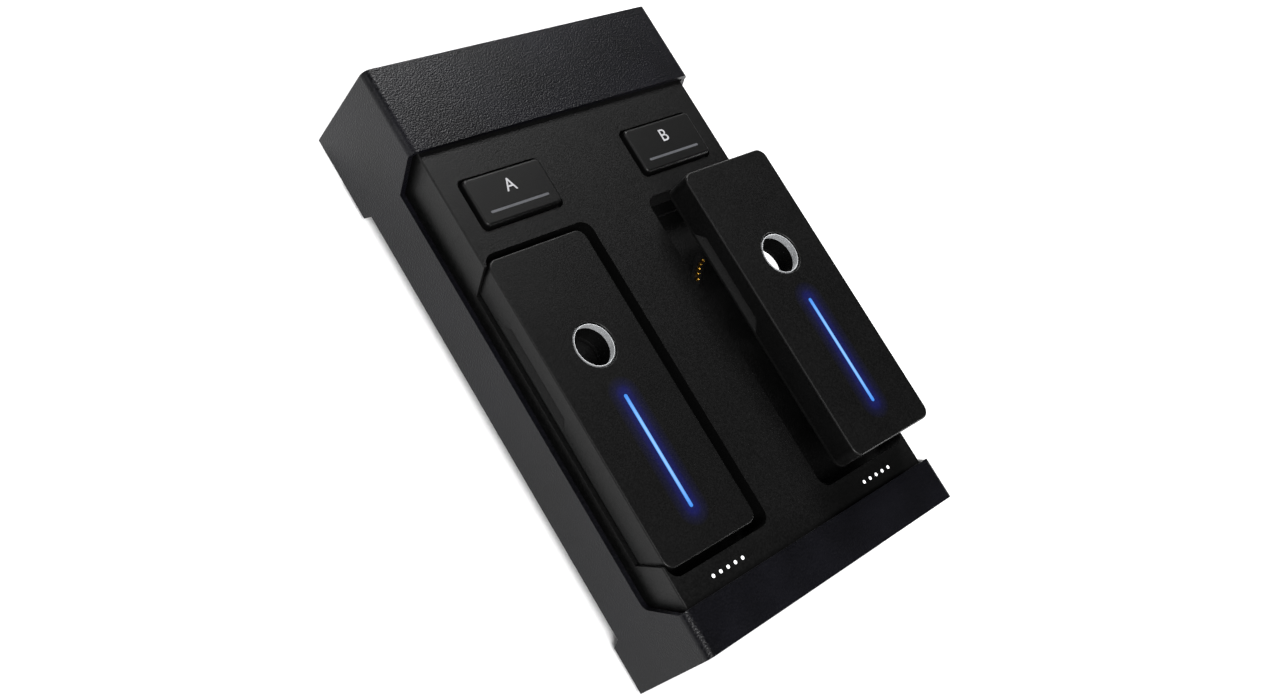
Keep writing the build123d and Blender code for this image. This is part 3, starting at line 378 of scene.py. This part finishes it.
# %% Lit bars and glowing shells
GLOW_REACH, SKIN_DEPTH = 5.0 * MM, 0.6 * MM
BAR_HALF_WIDTH = 0.55 * MM
BAR_CORE = ((0.0, "#a8daff"), (0.7, "#7cbcfa"), (1.0, "#4a8ee8"))
BAR_ENDS = linear("#3d8ff0")
UNLIT = linear("#000000")
LEAKED_LIGHT = ((0.0, "#0b1458"), (0.3, "#0c0e50"), (0.55, "#07082c"), (1.0, "#000000"))
BAR_STRENGTH, LEAK_STRENGTH = 0.9, 1.0
END_SHARPNESS = 3.0  # a power: the bar dims only close to its ends

for tag in "ab":
    material, tree, shader, place = start_finish(f"lit_frosted_acrylic_{tag}", 0.35)
    grain(tree, shader, place, 0.4, 0.006, ("#10284c", "#1a3a66"), (0.3, 0.42))
    distance, _, toward_end = distance_from_bar(tree, place, tag)
    core = fade(tree, shader, distance, BAR_HALF_WIDTH, BAR_CORE, BAR_STRENGTH)
    dimmed = add(tree, "ShaderNodeMath", {0: toward_end, 1: END_SHARPNESS}, operation="POWER",
                 use_clamp=True)
    shown = add(tree, "ShaderNodeMix", {0: dimmed.outputs[0], 6: core, 7: BAR_ENDS}, data_type="RGBA")
    tree.links.new(shown.outputs[2], shader.inputs["Emission Color"])
    finishes[f"light_bar_{tag}"] = material

    # the shell has a soft-touch coat: near black, with no sharp highlight
    material, tree, shader, place = start_finish(f"soft_touch_shell_{tag}", 0.5)
    grain(tree, shader, place, 0.4, 0.04, ("#030303", "#070707"), (0.36, 0.50))
    dull(shader, TEXTURED_GLOSS)
    distance, height, _ = distance_from_bar(tree, place, tag)
    glow = fade(tree, shader, distance, GLOW_REACH, LEAKED_LIGHT, LEAK_STRENGTH)
    shell_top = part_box(f"remote_{tag}_top_shell")[1].z
    on_top = add(tree, "ShaderNodeMath", {0: height, 1: shell_top - SKIN_DEPTH}, operation="GREATER_THAN")
    lit = add(tree, "ShaderNodeMix", {0: on_top.outputs[0], 6: UNLIT, 7: glow}, data_type="RGBA")
    tree.links.new(lit.outputs[2], shader.inputs["Emission Color"])
    finishes[f"remote_plastic_{tag}"] = material
print("lit finishes made for both remotes")

# %% [markdown]
# The console's small lights
#
# Five white dots beside each dock show the remote's charge. They are the ends of one clear comb,
# lit from a board below, so only its top skin glows. The bars on the keys are the same frosted
# acrylic as the remotes' bars, but unlit. The letters on the keys are pad-printed ink.

# %% Small lights, key bars and ink
TIP_STRENGTH = 1.1
material, tree, shader, place = start_finish("clear_acrylic_lit_tips", 0.2)
grain(tree, shader, place, 0.5, 0.003, ("#b9bcc0", "#d8dadd"), (0.15, 0.25))
axes = add(tree, "ShaderNodeSeparateXYZ", {"Vector": place})
pipe_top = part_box("light_pipe_a")[1].z
tip = add(tree, "ShaderNodeMath", {0: axes.outputs["Z"], 1: pipe_top - SKIN_DEPTH}, operation="GREATER_THAN")
tip_light = add(tree, "ShaderNodeMix", {0: tip.outputs[0], 6: UNLIT, 7: linear("#ffffff")}, data_type="RGBA")
tree.links.new(tip_light.outputs[2], shader.inputs["Emission Color"])
shader.inputs["Emission Strength"].default_value = TIP_STRENGTH
finishes["light_pipe"] = material
finishes["key_light"] = moulded("unlit_frosted_acrylic", 0.3, 0.004, ("#47484b", "#55565a"), (0.35, 0.5))
finishes["key_ink"] = moulded("pad_printed_ink", 0.2, 0.003, ("#9a9a9c", "#adadb0"), (0.5, 0.65))
finishes["led_lens"] = moulded("led_epoxy", 0.3, 0.003, ("#d6d2b4", "#e8e4c8"), (0.15, 0.25))
print(len(finishes), "finishes ready")

# %% [markdown]
# Rounded edges
#
# Nothing real has a perfectly sharp edge, and on black parts the edges are most of what is seen.
# A welded copy of each visible part has its flat faces joined and its folds bevelled by a fifth
# of a millimetre or so. A Bevel modifier could do that live, but here each fold is chosen by its
# angle and height, so the ones that are tight and out of sight stay as they are.

# %% Round the edges of the moulded and bent parts
WELD, FLAT, FOLD, SHARP = 0.0002 * MM, radians(0.6), radians(32), radians(40)
EDGE_STEPS = 3
EVERYWHERE = -1.0  # a height in mm that is below the whole object
replaced = set()


def settle(shape, name, node, finish):
    """Turn a shape into a smooth-shaded piece that stands for a part, on its body, with its finish."""
    bmesh.ops.recalc_face_normals(shape, faces=shape.faces)
    open_edges = sum(not edge.is_manifold for edge in shape.edges)
    mesh = bpy.data.meshes.new(name)
    shape.to_mesh(mesh)
    shape.free()
    mesh.shade_smooth()
    mesh.set_sharp_from_angle(angle=SHARP)
    mesh.materials.append(finishes[finish])
    piece = bpy.data.objects.new(name, mesh)
    bpy.context.scene.collection.objects.link(piece)
    level = piece.modifiers.new("flat faces stay flat", "WEIGHTED_NORMAL")
    level.keep_sharp, level.weight = True, 100
    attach(piece, body_of[node])
    print(f"{name:28s} {len(mesh.polygons):6d} faces  {open_edges} open edges")
    return piece


def stand_in(shape, name, node, finish):
    """A settled piece that is seen in place of a CAD part."""
    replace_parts(settle(shape, name, node, finish), node)
    replaced.add(node)


def round_folds(shape, radius_mm, above_mm=EVERYWHERE):
    """Bevel the folds that reach above a height, with a round profile."""
    folds = [e for e in shape.edges if e.is_manifold and e.calc_face_angle() > FOLD
             and max(vert.co.z for vert in e.verts) > above_mm * MM]
    bmesh.ops.bevel(shape, geom=folds, offset=radius_mm * MM, offset_type="OFFSET", affect="EDGES",
                    segments=EDGE_STEPS, profile=0.5, material=-1, clamp_overlap=True)


def soften(name, node, radius_mm, finish, split_at=(), above_mm=EVERYWHERE):
    """A rounded copy of a CAD part. A flat face round several holes is split at x values."""
    shape = bmesh.new()
    shape.from_mesh(parts[node].data)
    bmesh.ops.remove_doubles(shape, verts=shape.verts, dist=WELD)
    bmesh.ops.dissolve_limit(shape, angle_limit=FLAT, verts=shape.verts, edges=shape.edges)
    for x in split_at:
        everything = shape.verts[:] + shape.edges[:] + shape.faces[:]
        bmesh.ops.bisect_plane(shape, geom=everything, plane_co=(x, 0, 0), plane_no=(1, 0, 0))
    round_folds(shape, radius_mm, above_mm)
    stand_in(shape, name, node, finish)


EDGE_MM = {"cover_sleeve": 0.2, "console": 0.12, "base_plate": 0.2, "rear_panel": 0.12,
           "usb_shell": 0.15}
KEY_EDGE_MM, SHELL_EDGE_MM, REMOTE_BASE_EDGE_MM = 0.15, 0.12, 0.1
# The console's ribs and screw posts meet its walls at a tangent, where a bevel would fold over
# itself. They are out of sight below the docks, so only the folds above them are rounded.
SHARP_BELOW_MM = {"console": 10.0}
for node, radius in EDGE_MM.items():
    soften(f"{node}_rounded", node, radius, slot_of[node],
           above_mm=SHARP_BELOW_MM.get(node, EVERYWHERE))
for tag in "ab":
    soften(f"key_{tag}_cap_rounded", f"key_{tag}_cap", KEY_EDGE_MM, "key_plastic")
    low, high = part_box(f"remote_{tag}_top_shell")
    soften(f"remote_{tag}_shell_rounded", f"remote_{tag}_top_shell", SHELL_EDGE_MM,
           f"remote_plastic_{tag}", split_at=[(low.x + high.x) / 2])
    soften(f"remote_{tag}_base_rounded", f"remote_{tag}_bottom_shell", REMOTE_BASE_EDGE_MM,
           "remote_base_plastic")

# %% [markdown]
# Turned parts
#
# The liners, the jack barrels and their inserts are turned on a lathe or moulded round. Each is a
# half section spun about its axis. Spinning keeps the ring of faces even, so a round part shades
# cleanly, which a bevelled copy of a coarse circle would not.

# %% Lathe helper
TURN_STEPS = 80


def turn(shape, section, place):
    """Spin a closed section of (radius, height) points in mm about +Z, then set it at place."""
    before = set(shape.verts)
    ring = [shape.verts.new((radius * MM, 0, height * MM)) for radius, height in section]
    outline = [shape.edges.new(pair) for pair in zip(ring, ring[1:] + ring[:1])]
    bmesh.ops.spin(shape, geom=ring + outline, cent=(0, 0, 0), axis=(0, 0, 1), angle=2 * pi,
                   steps=TURN_STEPS, use_merge=True)
    made = [vert for vert in shape.verts if vert not in before]
    bmesh.ops.transform(shape, matrix=place, verts=made)


def tube(inside, outside, length):
    """The section of a plain tube."""
    return [(inside, 0), (outside, 0), (outside, length), (inside, length)]


# %% Spindle liners
# The top of a liner is thinned to a bright rim, with a dark groove between it and the shell.
LINER_INSIDE, LINER_OUTSIDE = 5.65, 6.2
LIP_OUTSIDE, LIP_DROP, LIP_EDGE = 5.78, 1.7, 0.04
for tag in "ab":
    node = f"remote_{tag}_spindle_liner"
    low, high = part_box(node)
    shape = bmesh.new()
    base = Matrix.Translation(((low.x + high.x) / 2, (low.y + high.y) / 2, low.z))
    rise = (high.z - low.z) / MM
    section = [(LINER_INSIDE, 0), (LINER_OUTSIDE, 0), (LINER_OUTSIDE, rise - LIP_DROP),
               (LIP_OUTSIDE, rise - LIP_DROP), (LIP_OUTSIDE, rise), (LINER_INSIDE, rise)]
    turn(shape, section, base)
    round_folds(shape, LIP_EDGE)
    stand_in(shape, f"remote_{tag}_silver_liner", node, "liner_silver")

# %% Jacks
jacks = [Vector(mount["pos_m"]) for mount in frame["record"]["mounts"]
         if mount["name"].startswith("audio_out")]
BACKWARDS = Matrix.Rotation(radians(-90), 4, "X")
COLLAR_RADIUS, COLLAR_HEIGHT = 5.4, 0.8
BARREL_INSIDE, BARREL_OUTSIDE, BARREL_EDGE = 3.6, 4.15, 0.08
GROOVE, GROOVE_FROM_END = 0.18, 2.2
INSERT_INSIDE, INSERT_OUTSIDE, INSERT_EDGE = 1.97, 3.57, 0.1
CONTACT_INSIDE, CONTACT_OUTSIDE, CONTACT_EDGE = 1.62, 1.95, 0.06


def jack_piece(name, node, section, finish, edge_mm, places):
    """One turned section, repeated at each jack, from the front of the part to its back end."""
    shape = bmesh.new()
    for jack in places:
        turn(shape, section, Matrix.Translation((jack.x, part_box(node)[0].y, jack.z)) @ BACKWARDS)
    round_folds(shape, edge_mm)
    stand_in(shape, name, node, finish)


def reach_mm(node):
    """How long a part is from front to back, in mm."""
    low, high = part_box(node)
    return (high.y - low.y) / MM


barrel = reach_mm("rca_barrels")
collar = (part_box("rear_panel")[1].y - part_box("rca_barrels")[0].y) / MM
groove_at = barrel - GROOVE_FROM_END
barrel_section = [
    (BARREL_INSIDE, 0), (BARREL_OUTSIDE, 0), (BARREL_OUTSIDE, collar), (COLLAR_RADIUS, collar),
    (COLLAR_RADIUS, collar + COLLAR_HEIGHT), (BARREL_OUTSIDE, collar + COLLAR_HEIGHT),
    (BARREL_OUTSIDE, groove_at), (BARREL_OUTSIDE - GROOVE, groove_at + GROOVE),
    (BARREL_OUTSIDE - GROOVE, groove_at + 3 * GROOVE), (BARREL_OUTSIDE, groove_at + 4 * GROOVE),
    (BARREL_OUTSIDE, barrel), (BARREL_INSIDE, barrel),
]
jack_piece("jack_barrels_turned", "rca_barrels", barrel_section, "nickel_plate", BARREL_EDGE, jacks)
for colour, places in (("white", jacks[0::2]), ("red", jacks[1::2])):
    node = f"rca_inserts_{colour}"
    insert = tube(INSERT_INSIDE, INSERT_OUTSIDE, reach_mm(node))
    jack_piece(f"jack_inserts_{colour}_round", node, insert, f"insert_{colour}", INSERT_EDGE, places)
contact = tube(CONTACT_INSIDE, CONTACT_OUTSIDE, reach_mm("rca_contacts"))
jack_piece("jack_contacts_turned", "rca_contacts", contact, "gold_plate", CONTACT_EDGE, jacks)

# %% [markdown]
# Letters on the keys
#
# A plain A and B name the two decks. Pad printing lays a film of ink a few hundredths of a
# millimetre thick, so each letter is a text object turned into a mesh with that thickness.
# A painted texture would blur, and this keeps a crisp edge.

# %% Key letters
LETTER_HEIGHT, INK_THICK, LETTER_BACK = 3.6 * MM, 0.03 * MM, 2.1 * MM
for tag in "ab":
    cap_low, cap_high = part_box(f"key_{tag}_cap")
    text = bpy.data.curves.new(f"letter_{tag}", "FONT")
    text.body, text.align_x, text.align_y = tag.upper(), "CENTER", "CENTER"
    text.extrude = INK_THICK
    writer = bpy.data.objects.new("writer", text)
    bpy.context.scene.collection.objects.link(writer)
    bpy.context.view_layer.update()
    mesh = bpy.data.meshes.new_from_object(writer.evaluated_get(bpy.context.evaluated_depsgraph_get()))
    bpy.data.objects.remove(writer)
    shape = bmesh.new()
    shape.from_mesh(mesh)
    bmesh.ops.remove_doubles(shape, verts=shape.verts, dist=WELD)
    xs, ys, zs = ([vert.co[axis] for vert in shape.verts] for axis in range(3))
    scale = LETTER_HEIGHT / (max(ys) - min(ys))
    to_origin = (-(min(xs) + max(xs)) / 2, -(min(ys) + max(ys)) / 2, -min(zs))
    bmesh.ops.translate(shape, verts=shape.verts, vec=to_origin)
    bmesh.ops.scale(shape, verts=shape.verts, vec=(scale, scale, 1))
    centre = (cap_low + cap_high) / 2
    bmesh.ops.translate(shape, verts=shape.verts, vec=(centre.x, centre.y + LETTER_BACK, cap_high.z))
    settle(shape, f"key_{tag}_letter", f"key_{tag}_cap", "key_ink")

# %% [markdown]
# Finishes for the parts that keep their CAD shape
#
# The other parts are already right as they are. Each takes the finish of its own material slot,
# and the light bars take the one made for their own remote.

# %% Dress the remaining parts
for node, part in parts.items():
    if node in replaced:
        continue
    slot = slot_of[node]
    finish = f"{slot}_{node.split('_')[1]}" if slot == "light_bar" else slot
    part.data.materials.clear()
    part.data.materials.append(finishes[finish])
print(len(parts) - len(replaced), "parts keep their CAD shape,", len(replaced), "are replaced")

# %% [markdown]
# The floor
#
# A pale matte board, with only a faint unevenness so that it doesn't look computed.

# %% Floor finish
material, tree, shader, place = start_finish("pale_matte_board", 0.9)
grain(tree, shader, place, 4.0, 0.02, ("#f2f2f2", "#f8f8f8"), (0.85, 0.95))
floor_mesh.materials.append(material)
print("floor finish:", material.name)

# %% [markdown]
# Sizes
#
# A rounded or turned piece must not reach past the part it stands for, so the finished box is
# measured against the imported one. All six differences should be zero.

# %% Sizes, and the end
low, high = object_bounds()
print("visual box minus CAD box, mm:", [[round((a - b) / MM, 3) for a, b in zip(new, old)]
                                        for new, old in ((low, cad_low), (high, cad_high))])
